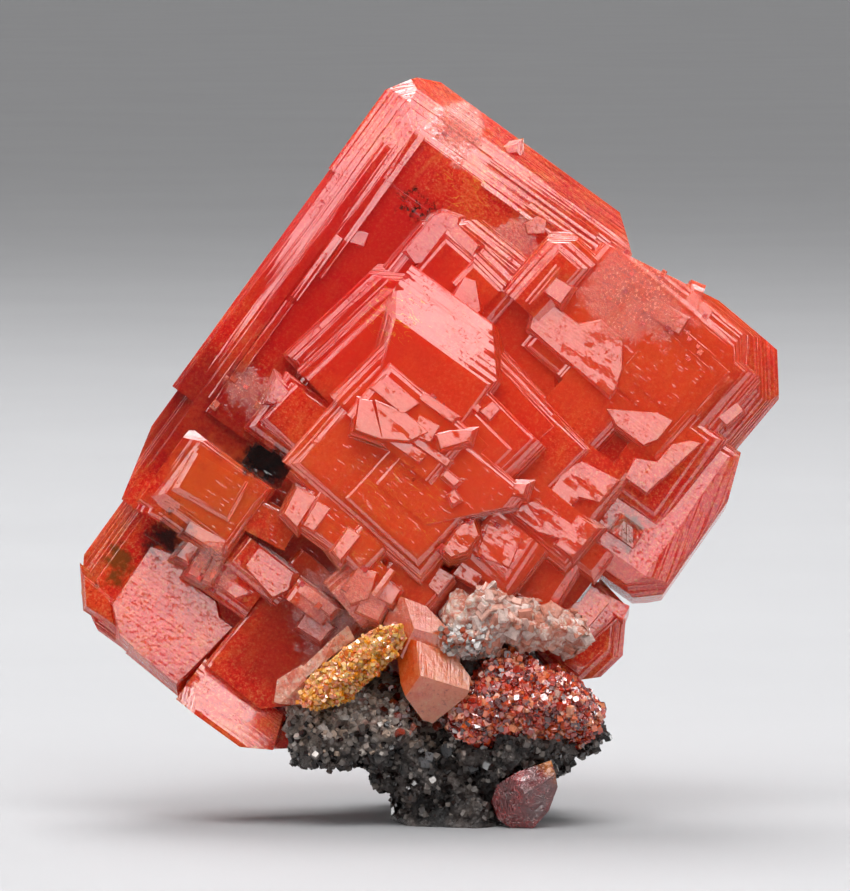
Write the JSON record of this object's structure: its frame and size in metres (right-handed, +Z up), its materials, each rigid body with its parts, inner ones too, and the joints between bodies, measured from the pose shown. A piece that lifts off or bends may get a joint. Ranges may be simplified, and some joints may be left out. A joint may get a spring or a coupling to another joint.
{
  "type": "wulfenite mineral specimen",
  "caption": "Stepped tabular red-orange wulfenite crystal standing on a piece of dark rock with small crystals, for display on a flat surface.",
  "frame": {"origin": "middle of the rock's flat foot, on the surface that the specimen stands on", "axes": "+Z up, +X to the right seen from the front, -Y out of the front, the way the large crystal's stepped face looks"},
  "size_m": [0.044, 0.0189, 0.0466],
  "materials": {
    "wulfenite": "clear red-orange crystal with bright striated faces",
    "pale_wulfenite": "clear pale orange crystal with a satin face",
    "yellow_wulfenite": "yellow-orange crystal crusted with sparkling grains",
    "brown_wulfenite": "cloudy brown-red crystal, waxy lustre",
    "quartz": "milky pale pink to grey, uneven and glassy",
    "druse": "crust of small glittering red-orange crystals",
    "rock": "rough dark grey-brown rock with fine glittering grains"
  },
  "bodies": {
    "root": {"stepped_crystal": "wulfenite", "round_crystal": "wulfenite", "point_crystal": "pale_wulfenite", "blade_crystal": "yellow_wulfenite", "pale_plate": "quartz", "foot_crystal": "brown_wulfenite", "quartz_ledge": "quartz", "red_crust": "druse", "matrix_rock": "rock"}
  },
  "joints": []
}
